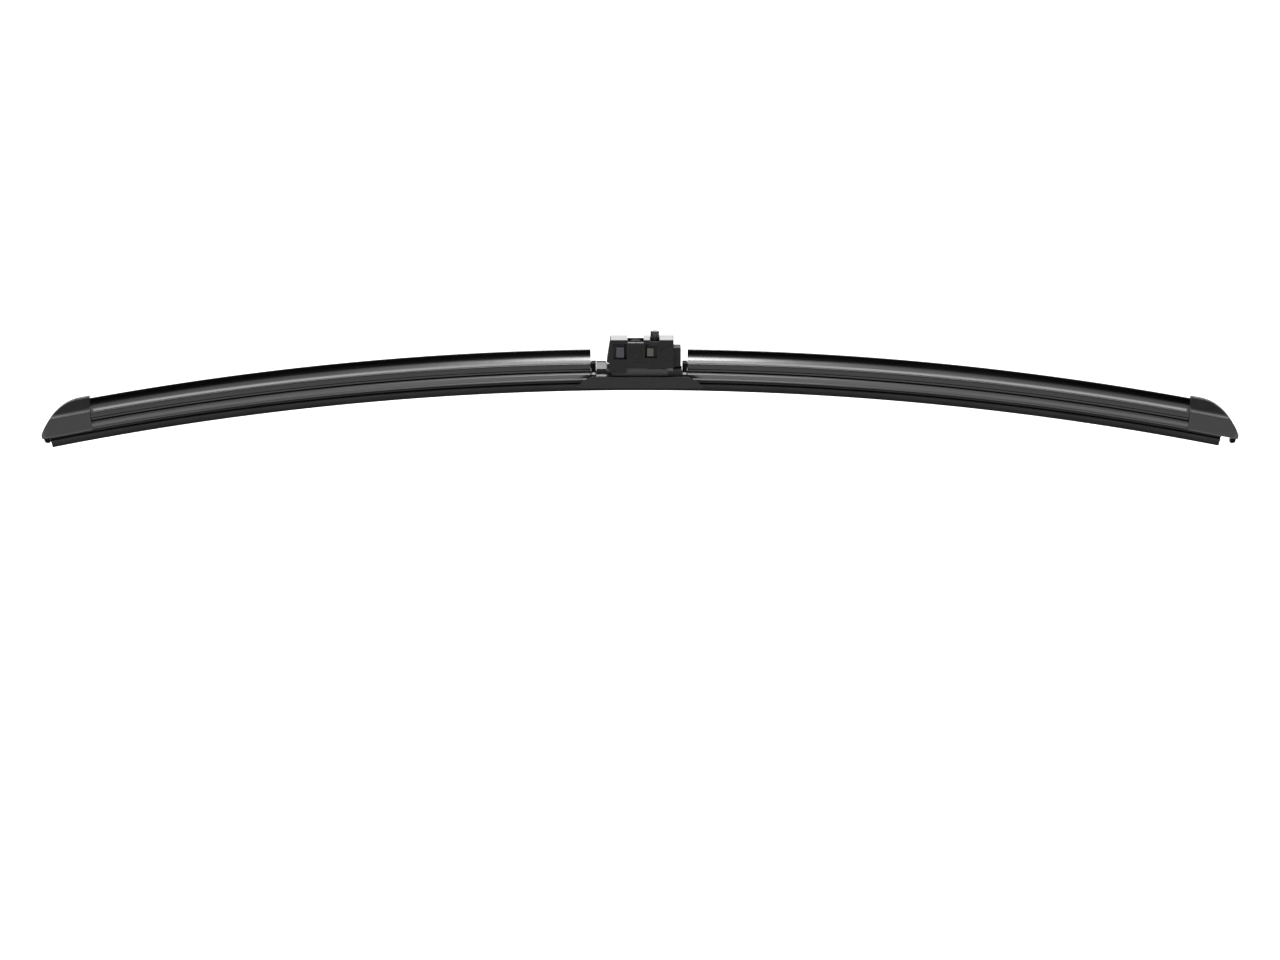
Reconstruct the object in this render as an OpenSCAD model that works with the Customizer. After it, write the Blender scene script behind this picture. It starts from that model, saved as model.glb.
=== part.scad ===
// Flat ("beam") windshield wiper blade with a push-button arm adapter.
//
// Blade coordinates, millimetres: X runs along the blade, Y across it (the hollow
// face of the spoiler looks to -Y), and Z up, away from the glass. The blade's
// sections are drawn as (Y, height above the wiping edge) and swept along the bow.
// place() shifts each piece so that the origin lies on the adapter's seat, on the
// strip of its top face between the slot and the push button.

/* [Blade] */
// Length over both end caps, along the chord
blade_l = 650; // [500:10:700]
// Radius of the blade's free bow, at the wiping edge
bow_r = 1632; // [1300:4:2400]

/* [Rubber and rails] */
// Thickness of the wiping lip
lip_t = 0.7; // [0.6:0.1:1]
// Thickness of a spring steel rail
rail_t = 0.9; // [0.8:0.05:0.9]
// Width of a spring steel rail
rail_w = 4.4; // [4:0.1:4.4]

/* [Spoiler] */
// Height of the spoiler's tip above the wiping edge
spoiler_h = 22.6; // [22:0.1:23.2]
// Width over the spoiler's rail claws
claw_w = 12.6; // [12.4:0.1:12.8]
// Length of an end cap
cap_l = 28; // [26:0.5:30]

/* [Connector] */
// Length of the base shell, at its foot
shell_l = 68; // [66:1:72]
// Width of the base shell
shell_w = 19.6; // [19.4:0.1:21]
// Width of the adapter's housing, which the arm's channel slides over
adapter_w = 17.5; // [17.4:0.05:17.6]
// Height of the adapter's seat above the wiping edge
seat_h = 29; // [29:0.1:29.6]
// Radius of the pivot pin
pin_r = 2.25; // [2:0.05:2.3]
// Radius of the push button's head
button_r = 2.45; // [2.2:0.05:2.5]
// Height of the push button above the seat
button_h = 3.7; // [3.2:0.1:3.8]

/* [Hidden] */

$fn = 64;
sweep_fn = 720;      // steps in a full turn of the bow
fit = 0.05;          // gap between pieces that sit in each other
slip = 0.15;         // gap between pieces that slide together

// --- heights above the wiping edge, shared by the sections ---
wing_z = 3.9;        // widest point of the squeegee's wedge
neck_z = 4.3;        // underside of the neck
head_z = 5.1;        // top of the neck, underside of the squeegee's body
rail_z = 8.3;        // underside of the rail slot
slot_h = 1;          // height of the rail slot
head_top_z = 10.1;   // top of the squeegee's head
claw_z = 6.8;        // underside of the spoiler's claws
ledge_z = 11.6;      // top of the claws
groove_z = 12.4;     // middle of the groove above the claws
foot_z = 15.8;       // front edge of the hollow face

// --- half widths across the blade ---
claw_y = claw_w / 2;
body_y = 2.9;        // squeegee's body, below the rails
head_y = 2.5;        // squeegee's head, above the rails
rail_y = 0.7;        // inner edge of a rail
mouth_y = body_y + slip;
rail_room_y = rail_y + rail_w + slip;
tunnel_y = 3.6;      // hollow in the spoiler's fin
tunnel_z = [13, 15.1];

// --- stations along the blade ---
function bow_angle(x) = asin(x / bow_r);
half_l = blade_l / 2;
cap_mid = bow_angle(half_l - cap_l / 2 - 1.5);
spoiler_starts = [bow_angle(26.45), bow_angle(25.45)];       // left, right
spoiler_end = bow_angle(half_l - cap_l + 7.5);
rail_end = bow_angle(half_l - 8);
clip_span = [bow_angle(half_l - 15), bow_angle(half_l - 10)];
rubber_ends = [bow_angle(half_l - 5.7), bow_angle(half_l - 10.5)];   // left, right

// --- connector ---
pivot = [-2.4, 22];          // X and Z of the pivot
ear_y = [5.1, 6.1];          // inner and outer face of a saddle ear
barrel_r = 5.6;              // crown of the joint block around the pivot
barrel_y = 4.4;
bush_r = 3.1;
bush_flange = [3.9, 0.5];    // radius and thickness
house_y = adapter_w / 2;
house_in_y = house_y - 1.5;
roof_z = seat_h - 1.8;       // underside of the adapter's roof
lug_x = [[-12.7, -8.7], [3.9, 7.2]];
lug_z = [[19.5, 25], [20.2, 24.5]];
window_x = [[-14.4, -7.2], [2.7, 9.2]];
window_z = [[18.4, roof_z - 0.3], [19.2, roof_z - 0.3]];
slot_x = [-6.7, 2];          // open slot in the roof, over the crown
recess_x = [5.4, 10.5];      // slot in the roof around the button, shallow over the walls
button_x = 8;
button_base_z = roof_z - 1.8;   // underside of the button's collar
stem_r = button_r + 0.2;
collar_r = 3.5;
pocket_floor_z = 16.2;
slab_z = 8.8;                // top of the base shell's skirts
plug_x = [23.7, 22.7];       // inner ends of the left and right spoiler plugs
seat_x = 3.7;                // X of the row's origin

rubber_color = [0.10, 0.10, 0.105];
steel_color = [0.62, 0.63, 0.65];
coated_color = [0.09, 0.09, 0.095];
gloss_color = [0.035, 0.035, 0.04];
plastic_color = [0.16, 0.16, 0.165];
insert_color = [0.30, 0.30, 0.29];

// Points of the arc through p and q that bulges to the right of the way from p to q
function bulge(p, q, turn, n = 10) =
    let (d = q - p, r = norm(d) / 2 / sin(turn / 2), a = atan2(d[1], d[0]),
         c = (p + q) / 2 + r * cos(turn / 2) * [-sin(a), cos(a)])
    [for (i = [0 : n]) let (t = a - 90 - turn / 2 + turn * i / n) c + r * [cos(t), sin(t)]];

function reversed(points) = [for (i = [len(points) - 1 : -1 : 0]) points[i]];

// Points of a cubic curve with four control points
function bezier(p, n) =
    [for (i = [0 : n]) let (t = i / n, s = 1 - t)
        s * s * s * p[0] + 3 * s * s * t * p[1] + 3 * s * t * t * p[2] + t * t * t * p[3]];

module place() translate([-seat_x, 0, -seat_h]) children();

// Sweeps a section, drawn as (Y, height), along the bow between two angles
module bow(from, to)
    translate([0, 0, -bow_r]) rotate([90, 0, 0]) rotate([0, 0, 90 - to])
        rotate_extrude(angle = to - from, $fn = sweep_fn)
            translate([bow_r, 0]) rotate(-90) children();

// Stands children in the straight frame that touches the bow at an angle
module at_bow(angle)
    translate([0, 0, -bow_r]) rotate([0, angle, 0]) translate([0, 0, bow_r]) children();

// A plate drawn in X and Z, from Y = y0 to Y = y1
module across(y0, y1) translate([0, y1, 0]) rotate([90, 0, 0]) linear_extrude(y1 - y0) children();

// A prism drawn in Y and Z, from X = x0 to X = x1
module along(x0, x1)
    translate([x0, 0, 0]) rotate([90, 0, 90]) linear_extrude(x1 - x0) children();

// A box given by its X, Y and Z limits
module block(x, y, z) translate([x[0], y[0], z[0]]) cube([x[1] - x[0], y[1] - y[0], z[1] - z[0]]);

module at_pivot() translate([pivot[0], 0, pivot[1]]) rotate([90, 0, 0]) children();

module both_sides() {
    children();
    mirror([0, 1, 0]) children();
}

module mirrored_if(flip) if (flip) mirror([1, 0, 0]) children(); else children();

// ---------------------------------------------------------------- squeegee
module rubber_section() {
    half = [[lip_t / 2, 0], [lip_t / 2, 1.7], [0.75, 2.3], [2.1, 3.5], [2.3, wing_z],
            [2.1, neck_z], [0.4, neck_z + 0.1], [0.4, head_z - 0.1], [body_y - 0.3, head_z],
            [body_y, head_z + 0.4], [body_y, rail_z - 0.3], [body_y - 0.2, rail_z],
            [0.6, rail_z], [0.6, rail_z + slot_h], [head_y - 0.2, rail_z + slot_h],
            [head_y, rail_z + slot_h + 0.2], [head_y - 0.3, head_top_z]];
    polygon(concat(half, reversed([for (p = half) [-p[0], p[1]]])));
}

module wiper_rubber() place() color(rubber_color) bow(-rubber_ends[0], rubber_ends[1]) rubber_section();

// ---------------------------------------------------------------- rails
module rail() color(steel_color)
    bow(-rail_end, rail_end) translate([rail_y, rail_z + fit]) square([rail_w, rail_t]);

module spring_rail_rear() place() rail();

module spring_rail_front() place() mirror([0, 1, 0]) rail();

// A stamped staple, welded over both rails just inside their ends
module rail_clip(flip) place() mirrored_if(flip) color(steel_color)
    bow(clip_span[0], clip_span[1]) difference() {
        translate([-4.9, rail_z + 2 * fit + rail_t]) square([9.8, 2.5]);
        translate([-2.8, rail_z]) square([5.6, 2.5]);
    }

module rail_clip_left() rail_clip(true);

module rail_clip_right() rail_clip(false);

// ---------------------------------------------------------------- spoiler
// Outline over the claws, the grooves and the fin; grow widens it all round
module spoiler_outline(grow = 0) {
    flank = 5.7 + grow;
    tip = [1.1 - grow, 2.3 + grow];
    top = spoiler_h + grow;
    claw = [for (p = [[-0.8, 0, -1], [-0.15, 0.15, 0], [0, 0.5, 0], [-0.45, 1.05, 0], [-0.25, 3.05, 0],
                      [-1.15, 4.15, 1]])
        [claw_y + p[0] + grow, claw_z + p[1] + p[2] * grow]];
    groove = [[4.7 + grow, groove_z - 0.9], [4.7 + grow, groove_z], [flank, groove_z + 0.6]];
    polygon(concat(
        claw, groove, bulge([flank, foot_z - 0.9], [tip[1], top - 0.3], 22),
        [[tip[1] - 0.3, top], [tip[0] + 0.3, top]],
        reversed(bulge([0.4 - flank, foot_z + grow], [tip[0], top - 0.3], 58)),
        [[0.1 - flank, foot_z - 0.2 + grow], [-flank, foot_z - 0.7]],
        reversed([for (p = concat(claw, groove)) [-p[0], p[1]]])));
}

// Room for the rails and for the squeegee's body and head
module rail_channel() {
    translate([-mouth_y, 0]) square([2 * mouth_y, rail_z + slot_h]);
    translate([-rail_room_y, rail_z - fit]) square([2 * rail_room_y, slot_h + 2 * fit]);
    translate([-head_y - slip, rail_z]) square([2 * (head_y + slip), head_top_z + slip - rail_z]);
}

module spoiler(flip) place() mirrored_if(flip) color(gloss_color)
    bow(spoiler_starts[flip ? 0 : 1], spoiler_end) difference() {
        spoiler_outline();
        rail_channel();
        translate([-tunnel_y, tunnel_z[0]]) square([2 * tunnel_y, tunnel_z[1] - tunnel_z[0]]);
    }

module spoiler_left() spoiler(true);

module spoiler_right() spoiler(false);

// Closes a spoiler's inner end: a tongue in the fin, and a collar round the rails
module spoiler_plug(flip) place() mirrored_if(flip) color(coated_color) {
    inner = bow_angle(plug_x[flip ? 0 : 1]);
    outer = spoiler_starts[flip ? 0 : 1];
    bow(inner, outer - bow_angle(slip)) difference() {
        union() {
            intersection() {
                spoiler_outline();
                translate([-10, 0]) square([20, ledge_z]);
            }
            translate([-5, ledge_z - 1]) square([10, 5.2]);
        }
        rail_channel();
    }
    bow(inner + bow_angle(2), outer + bow_angle(9.5))
        translate([-tunnel_y + slip, tunnel_z[0] + slip])
            square([2 * (tunnel_y - slip), tunnel_z[1] - tunnel_z[0] - 2 * slip]);
}

module spoiler_plug_left() spoiler_plug(true);

module spoiler_plug_right() spoiler_plug(false);

// ---------------------------------------------------------------- end caps
cap_end = cap_l / 2;
cap_y = 6.9;
cap_top = spoiler_h + 1.3;
cap_stop = cap_end - 3.6;      // face that stops the squeegee
cap_lean = 1.5;      // reach of the cap's upper edge beyond its lower one

module cap_outline() polygon(concat(
    [[0.5 - cap_y, 6.4], [cap_y - 0.5, 6.4], [cap_y, 6.9]],
    bulge([cap_y, 15.6], [3.3, cap_top - 0.4], 22),
    [[2.9, cap_top], [-1.9, cap_top], [-2.4, cap_top - 0.6]],
    reversed(bulge([0.6 - cap_y, 16.7], [2.6 - cap_y, 18.6], 50)),
    [[-cap_y, 16.2], [-cap_y, 6.9]]));

// Side view: the nose falls from the top in one curve to a short, steep tip,
// and the inner edge leans back over the spoiler
module cap_side() polygon(concat(
    [[0.6 - cap_end, 0], [-cap_end - cap_lean, cap_top + 1]],
    bezier([[cap_end - 20.6, cap_top + 0.01], [cap_end - 13.5, cap_top - 0.7],
            [cap_end - 4.5, 16.6], [cap_end, 8.4]], 16),
    [[cap_end, 7], [cap_end - 1, 0]]));

// The faces are bevelled towards the tip
module cap_plan() polygon([[-cap_l, -cap_y - 1], [cap_end - 3.4, -cap_y - 1], [cap_end, 2 - cap_y],
                           [cap_end, cap_y - 2], [cap_end - 3.4, cap_y + 1], [-cap_l, cap_y + 1]]);

module end_cap(flip) place() mirrored_if(flip) color(gloss_color) at_bow(cap_mid) difference() {
    union() {
        intersection() {
            along(-cap_l, cap_end) cap_outline();
            across(-cap_y - 1, cap_y + 1) cap_side();
            linear_extrude(cap_top + 1) cap_plan();
        }
        across(-3, 3) polygon([[cap_stop, 7.2], [cap_stop, 3.1], [cap_end - 2.4, 3.1],
                               [cap_end - 1, 3.7], [cap_end - 0.3, 7.2]]);
    }
    along(-cap_l, 9.6 - cap_end) spoiler_outline(slip);
    block([-cap_l, cap_stop], [-mouth_y, mouth_y], [0, head_top_z + 2 * slip]);
    block([-cap_end, cap_end - 5], [-rail_room_y, rail_room_y], [rail_z - slip, 12.4]);
}

module end_cap_left() end_cap(true);

module end_cap_right() end_cap(false);

// ---------------------------------------------------------------- base
saddle_l = 30;
saddle_z = [7.2, 12.7];

// One upright ear of the saddle, round at the top, about the pivot
module ear_outline() difference() {
    union() {
        translate(pivot) circle(4.2);
        polygon([for (p = [[-4.2, 0], [-4.2, -7.6], [-6.5, -9.6], [-6.5, -11], [6.5, -11],
                           [6.5, -9.6], [4.2, -7.6], [4.2, 0]]) pivot + p]);
    }
    translate(pivot) circle(pin_r - 0.48);
}

// Metal carrier that grips the rails from both sides and carries the pivot pin
module rail_saddle() place() color(coated_color) {
    half = bow_angle(saddle_l / 2);
    difference() {
        bow(-half, half) difference() {
            translate([-ear_y[1], saddle_z[0]]) square([2 * ear_y[1], saddle_z[1] - saddle_z[0]]);
            rail_channel();
        }
        // the claws stand only at the saddle's ends
        block([-8, 8], [-10, 10], [0, rail_z - 2 * fit]);
    }
    both_sides() across(ear_y[0], ear_y[1]) ear_outline();
}

// Side view of the skirts
module slab_side() {
    foot = shell_l / 2;
    polygon([[-foot + 0.6, 3], [foot - 0.6, 3], [foot, 3.6], [foot - 3, 6.4],
             [foot - 7.5, slab_z], [-foot + 7.5, slab_z], [-foot + 3, 6.4], [-foot, 3.6]]);
}

// Plastic shell: skirts beside the squeegee, and two decks that bridge the rails
module base_shell() place() color(plastic_color) {
    deck_y = claw_y + 0.3;
    difference() {
        across(-shell_w / 2, shell_w / 2) slab_side();
        block([-shell_l, shell_l], [1.5 - shell_w / 2, shell_w / 2 - 1.5], [0, slab_z - 1.2]);
        block([-shell_l, shell_l], [-claw_y - 0.25, claw_y + 0.25], [0, slab_z + 1]);
    }
    difference() {
        union() {
            block([15.15, 22.7], [-deck_y, deck_y], [slab_z - 1.2, 11.1]);
            along(-23.7, -15.15) polygon([[-deck_y, slab_z - 1.2], [deck_y, slab_z - 1.2],
                                          [deck_y, 8.6], [4.6, 10.4], [4.6, 11.1], [-4.6, 11.1],
                                          [-4.6, 10.4], [-deck_y, 8.6]]);
            // the left deck has an upper storey, which reaches in under the adapter's foot
            block([-23.7, -18.4], [-4.3, 4.3], [11, 12.6]);
            intersection() {
                across(-5.7, 5.7) polygon([[-23.7, 12.5], [-15.9, 12.5], [-15.9, 13.5],
                                           [-18.2, 14.4], [-18.2, 15.2], [-18.9, 15.9],
                                           [-23.7, 15.9]]);
                along(-24, -15) polygon([[-5.7, 12.5], [5.7, 12.5], [5.7, 12.8], [2.6, 15.9],
                                         [-2.6, 15.9], [-5.7, 12.8]]);
            }
            // cheeks on the right deck, beside the joint block's nose
            both_sides() block([17.9, 22.7], [5.95, deck_y], [11, 12.3]);
        }
        bow(-bow_angle(24), bow_angle(24)) rail_channel();
    }
}

// ---------------------------------------------------------------- pivot
// Pin with a riveted head on each ear
module pivot_pin() place() color(steel_color) at_pivot() rotate_extrude()
    polygon([[0, -6.9], [2.2, -6.9], [2.9, -6.5], [2.9, -ear_y[1]], [pin_r - 0.5, -ear_y[1]],
             [pin_r - 0.5, -ear_y[0]], [pin_r, -ear_y[0]], [pin_r, ear_y[0]],
             [pin_r - 0.5, ear_y[0]], [pin_r - 0.5, ear_y[1]], [2.9, ear_y[1]], [2.9, 6.5],
             [2.2, 6.9], [0, 6.9]]);

module pivot_bush() color(insert_color) at_pivot() difference() {
    union() {
        translate([0, 0, barrel_y - 4]) cylinder(r = bush_r, h = 4);
        translate([0, 0, barrel_y]) cylinder(r = bush_flange[0], h = bush_flange[1]);
    }
    cylinder(r = pin_r + fit, h = 20, center = true);
}

module pivot_bush_front() place() pivot_bush();

module pivot_bush_rear() place() mirror([0, 1, 0]) pivot_bush();

// ---------------------------------------------------------------- joint block
// Inner block: turns on the pivot, and snaps into the adapter's windows with four lugs
module joint_block() place() color(insert_color) difference() {
    union() {
        across(-barrel_y, barrel_y) translate(pivot) circle(barrel_r);
        across(-barrel_y, barrel_y)
            polygon([[-15.2, 16.5], [-14, 15.3], [12.5, 15.3], [14, 16.6], [16.4, 16.6],
                     [16.4, 26.4], [-14.6, 26.4], [-15.2, 25.8]]);
        for (x = [[-15.2, lug_x[0][1]], [lug_x[1][0], 16.4]])
            block(x, [-house_in_y + slip, house_in_y - slip], [16.6, 26.4]);
        for (i = [0, 1])
            block(lug_x[i], [0.35 - house_y, house_y - 0.35], lug_z[i]);
        across(-5.8, 5.8)
            polygon([[16, 16.6], [18.3, 13.7], [22.1, 14.4], [22.1, 23.9], [21.7, 24.3], [16, 24.3]]);
    }
    at_pivot() cylinder(r = bush_r + 0.02, h = 20, center = true);
    translate([button_x, 0, pocket_floor_z]) cylinder(r = collar_r + slip, h = 20);
}

// ---------------------------------------------------------------- adapter
module housing_side() {
    toe = 2.3;
    polygon(concat(
        [[-16.2, seat_h - 0.4], [-17.2, 22], [-18, 17.2], [-18, 16.8], [-16.6, 16.2]],
        [for (a = [180 : 10 : 270]) [-14.3 + toe * cos(a), 10.6 + toe + toe * sin(a)]],
        [[-7.8, 10.6], [-7.2, 11.2], [-7.2, 13.4], [17.6, 13.4], [18.2, 14],
         [18.2, seat_h - 0.4], [17.8, seat_h], [-15.8, seat_h]]));
}

// Shallow marks on the housing's walls, drawn in X and Z
module wall_marks() {
    translate(pivot) difference() { circle(3.3); circle(2.9); }
    translate([15.5, 22.1]) difference() { circle(4.5); circle(4); }
    translate([11.4, 16.7]) square([3.6, 3.7]);
    translate([-4.2, 16.9]) square([7, 0.4]);
    translate([-14.3, 12.9]) circle(1.3);
}

// Housing seen from its end, with softened upper edges
module housing_end() polygon([
    [-house_y, 0], [house_y, 0], [house_y, seat_h - 0.6], [house_y - 0.2, seat_h - 0.2],
    [house_y - 0.6, seat_h], [0.6 - house_y, seat_h], [0.2 - house_y, seat_h - 0.2],
    [-house_y, seat_h - 0.6]]);

// Outer housing: the arm's channel slides over it and rests on its roof
module arm_adapter() place() color(plastic_color) difference() {
    intersection() {
        across(-house_y, house_y) housing_side();
        along(-20, 20) housing_end();
    }
    block([-15.4, 16.7], [-house_in_y, house_in_y], [0, roof_z]);
    block([-20, -15], [-house_in_y, house_in_y], [0, 16.2]);
    block([16, 19], [-6, 6], [0, 24.6]);
    for (i = [0, 1])
        block(window_x[i], [-house_y - 1, house_y + 1], window_z[i]);
    block(slot_x, [-house_in_y, house_in_y], [roof_z - 1, seat_h + 1]);
    block(slot_x, [-house_y - 1, house_y + 1], [seat_h - 1.5, seat_h + 1]);
    block(recess_x, [-house_in_y, house_in_y], [roof_z - 1, seat_h + 1]);
    block(recess_x, [-house_y - 1, house_y + 1], [seat_h - 0.9, seat_h + 1]);
    translate([button_x, 0, 20]) cylinder(r = stem_r + slip, h = 20);
    both_sides() across(house_y - 0.3, house_y + 1) wall_marks();
}

// ---------------------------------------------------------------- push button
module push_button() place() color(gloss_color) translate([button_x, 0, 0]) rotate_extrude()
    polygon([[0, button_base_z], [collar_r, button_base_z], [collar_r, button_base_z + 1.6],
             [stem_r, button_base_z + 1.6], [stem_r, seat_h], [button_r, seat_h],
             [button_r, seat_h + button_h - 0.4], [button_r - 0.4, seat_h + button_h],
             [0, seat_h + button_h]]);

// A coil of round wire: rings of points along a helix, from Z = 0 to Z = length
module coil(radius, wire_r, length, turns, steps = 18, sides = 6) {
    rings = turns * steps;
    points = [for (i = [0 : rings], k = [0 : sides - 1])
        let (a = 360 * i / steps, b = 360 * k / sides, r = radius + wire_r * cos(b))
        [r * cos(a), r * sin(a), wire_r + (length - 2 * wire_r) * i / rings + wire_r * sin(b)]];
    skin = [for (i = [0 : rings - 1], k = [0 : sides - 1])
        let (j = (k + 1) % sides, p = i * sides, q = p + sides)
        each [[p + k, p + j, q + j], [p + k, q + j, q + k]]];
    ends = [[for (k = [sides - 1 : -1 : 0]) k], [for (k = [0 : sides - 1]) rings * sides + k]];
    polyhedron(points, concat(skin, ends));
}

// Coil spring under the button's collar
module button_spring() place() color(steel_color)
    translate([button_x, 0, pocket_floor_z + fit])
        coil(2.9, 0.3, button_base_z - pocket_floor_z - 2 * fit, 5);

wiper_rubber();
spring_rail_front();
spring_rail_rear();
spoiler_left();
spoiler_right();
spoiler_plug_left();
spoiler_plug_right();
end_cap_left();
end_cap_right();
rail_clip_left();
rail_clip_right();
rail_saddle();
base_shell();
pivot_pin();
pivot_bush_front();
pivot_bush_rear();
joint_block();
arm_adapter();
push_button();
button_spring();
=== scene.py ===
import math

import bmesh
import bpy
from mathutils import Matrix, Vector
from mathutils.geometry import tessellate_polygon


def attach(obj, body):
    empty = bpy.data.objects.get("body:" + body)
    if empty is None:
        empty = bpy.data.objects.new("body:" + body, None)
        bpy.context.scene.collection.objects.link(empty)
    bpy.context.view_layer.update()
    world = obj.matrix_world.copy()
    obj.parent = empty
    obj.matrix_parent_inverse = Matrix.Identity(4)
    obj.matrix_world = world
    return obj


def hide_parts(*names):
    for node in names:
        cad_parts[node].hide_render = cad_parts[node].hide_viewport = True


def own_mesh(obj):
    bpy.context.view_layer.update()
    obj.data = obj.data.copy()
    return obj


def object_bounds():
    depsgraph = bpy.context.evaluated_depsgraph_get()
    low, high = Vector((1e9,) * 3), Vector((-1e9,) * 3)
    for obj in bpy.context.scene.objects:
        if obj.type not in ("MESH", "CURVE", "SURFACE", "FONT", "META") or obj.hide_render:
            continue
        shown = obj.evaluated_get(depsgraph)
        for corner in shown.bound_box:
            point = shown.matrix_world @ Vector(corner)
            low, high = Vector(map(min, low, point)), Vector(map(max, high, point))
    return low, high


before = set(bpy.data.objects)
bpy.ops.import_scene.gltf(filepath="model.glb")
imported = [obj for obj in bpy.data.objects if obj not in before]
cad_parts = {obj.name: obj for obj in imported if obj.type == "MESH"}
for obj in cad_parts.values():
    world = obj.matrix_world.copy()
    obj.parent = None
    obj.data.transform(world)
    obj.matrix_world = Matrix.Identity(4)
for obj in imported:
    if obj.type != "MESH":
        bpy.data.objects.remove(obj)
cad_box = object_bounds()

# Sizes below are millimetres in blade coordinates, as in part.scad: X along the blade, Y across
# it, and heights above the wiping edge. Sections are (Y, height) and follow the bow.
MM = 0.001
SEAT_X = 3.7                  # the row frame's origin, in blade coordinates
SEAT_H = 29.0
BOW_R = 1632.0                # radius of the bow at the wiping edge
HALF_L = 325.0                # from the blade's middle to the end of a cap
CAP_L = 28.0
CLAW_Y = 6.3                  # half of the width over the claws
SPOILER_H = 22.6
SPOILER_START = {"left": 26.45, "right": 25.45}
SPOILER_LAP = 7.5             # how far a spoiler reaches into its cap
PLUG_START = {"left": 23.7, "right": 22.7}
PLUG_GAP = 0.15               # between a plug and its spoiler
RUBBER_END = {"left": 319.3, "right": 314.5}
SHARP_EDGE = math.radians(35)  # faces that turn by more than this keep a hard edge


# ---------------------------------------------------------------- places
def row_point(x, y, z):
    """A point in blade millimetres, as a point in the row frame."""
    return Vector((x - SEAT_X, y, z - SEAT_H)) * MM


def bow_angle(x):
    return math.asin(x / BOW_R)


def bow_point(angle, y, h):
    return row_point((BOW_R + h) * math.sin(angle), y, (BOW_R + h) * math.cos(angle) - BOW_R)


def steps(start, end, count):
    return [start + (end - start) * i / count for i in range(count + 1)]


# ---------------------------------------------------------------- outlines
def bulge(p, q, turn, count):
    """Points of the arc through p and q that bulges to the right of the way from p to q."""
    p, q = Vector(p), Vector(q)
    d = q - p
    radius = d.length / 2 / math.sin(math.radians(turn) / 2)
    away = Vector((-d.y, d.x)).normalized() * radius * math.cos(math.radians(turn) / 2)
    centre = (p + q) / 2 + away
    first = math.atan2(d.y, d.x) - math.pi / 2 - math.radians(turn) / 2
    sweep = [first + math.radians(turn) * i / count for i in range(count + 1)]
    return [centre + radius * Vector((math.cos(a), math.sin(a))) for a in sweep]


def rounded(points, radius):
    """A closed outline with each real corner turned into a small curve of three steps."""
    out = []
    points = [Vector(p) for p in points]
    for i, p in enumerate(points):
        back = points[i - 1] - p
        on = points[(i + 1) % len(points)] - p
        turn = math.pi - back.angle(on)
        if turn < math.radians(14):
            out.append(p)
            continue
        reach = min(radius * math.tan(turn / 2), 0.45 * back.length, 0.45 * on.length)
        a = p + back.normalized() * reach
        b = p + on.normalized() * reach
        for t in steps(0, 1, 3):
            out.append((1 - t) ** 2 * a + 2 * t * (1 - t) * p + t * t * b)
    return out


def counter_clockwise(loop):
    area = sum(loop[i - 1].x * p.y - p.x * loop[i - 1].y for i, p in enumerate(loop))
    return loop if area > 0 else loop[::-1]


def inset(loop, depth):
    """A counter-clockwise outline moved inwards, or outwards where depth is negative."""
    if not depth:
        return loop
    out = []
    for i, p in enumerate(loop):
        a = (p - loop[i - 1]).normalized()
        b = (loop[(i + 1) % len(loop)] - p).normalized()
        inward = Vector((-(a + b).y, (a + b).x)).normalized()
        cosine = max(0.5, inward.dot(Vector((-a.y, a.x))))
        out.append(p + inward * depth / cosine)
    return out


def mirrored(half):
    """An outline from one half of it, listed from the bottom up."""
    return half + [(-y, h) for y, h in reversed(half)]


# ---------------------------------------------------------------- meshes
def new_piece(name, points, faces, straight=None):
    """A smooth-shaded mesh object. straight is each point's place before the bow bent it."""
    mesh = bpy.data.meshes.new(name)
    mesh.from_pydata(points, [], faces)
    if straight:
        store = mesh.attributes.new("straight", "FLOAT_VECTOR", "POINT")
        store.data.foreach_set("vector", [c for p in straight for c in p])
    piece = bpy.data.objects.new(name, mesh)
    bpy.context.scene.collection.objects.link(piece)
    finish_mesh(piece)
    return piece


def finish_mesh(piece):
    """Closes seams, turns the faces outwards, and keeps only the real edges sharp."""
    bm = bmesh.new()
    bm.from_mesh(piece.data)
    bmesh.ops.remove_doubles(bm, verts=bm.verts, dist=1e-7)
    bmesh.ops.recalc_face_normals(bm, faces=bm.faces)
    for face in bm.faces:
        face.smooth = True
    for edge in bm.edges:
        edge.smooth = len(edge.link_faces) == 2 and edge.calc_face_angle() < SHARP_EDGE
    bm.to_mesh(piece.data)
    bm.free()


def tube_faces(rings, size):
    """The faces of a tube of rings, each of size points, with both of its ends closed."""
    faces = []
    for start in range(0, (rings - 1) * size, size):
        for k in range(size):
            j = (k + 1) % size
            faces.append((start + k, start + j, start + size + j, start + size + k))
    last = (rings - 1) * size
    return faces + [tuple(range(size)), tuple(range(last, last + size))]


def weigh_normals(piece):
    """Flat faces stay flat between their rounded edges."""
    weigh = piece.modifiers.new("weighted normals", "WEIGHTED_NORMAL")
    weigh.keep_sharp = True
    weigh.weight = 80


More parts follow.
